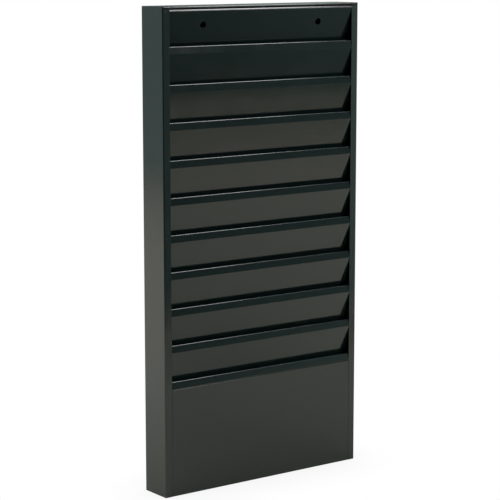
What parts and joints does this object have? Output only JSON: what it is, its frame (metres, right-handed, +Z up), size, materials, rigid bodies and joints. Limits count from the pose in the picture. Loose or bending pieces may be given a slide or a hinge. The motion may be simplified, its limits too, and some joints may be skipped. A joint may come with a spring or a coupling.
{
  "type": "brochure rack",
  "caption": "Tall, shallow wall rack of folded sheet steel with a column of sloping pockets for brochures or catalogues laid on their side.",
  "frame": {"origin": "on the flat back face that lies against the wall, midway between the two screw holes", "axes": "+Z up the rack, +Y out of the back towards the wall, +X to the right as seen from the front, which faces -Y"},
  "size_m": [0.34, 0.05, 0.68],
  "materials": {
    "enamel": "semi-gloss charcoal baked enamel on sheet steel"
  },
  "bodies": {
    "root": {"side_left": "enamel", "side_right": "enamel", "back_panel": "enamel", "top_cap": "enamel", "header_sheet": "enamel", "pocket_sheet_01": "enamel", "pocket_sheet_02": "enamel", "pocket_sheet_03": "enamel", "pocket_sheet_04": "enamel", "pocket_sheet_05": "enamel", "pocket_sheet_06": "enamel", "pocket_sheet_07": "enamel", "pocket_sheet_08": "enamel", "pocket_sheet_09": "enamel", "pocket_sheet_10": "enamel", "bottom_cover": "enamel", "base_channel": "enamel"}
  },
  "joints": []
}
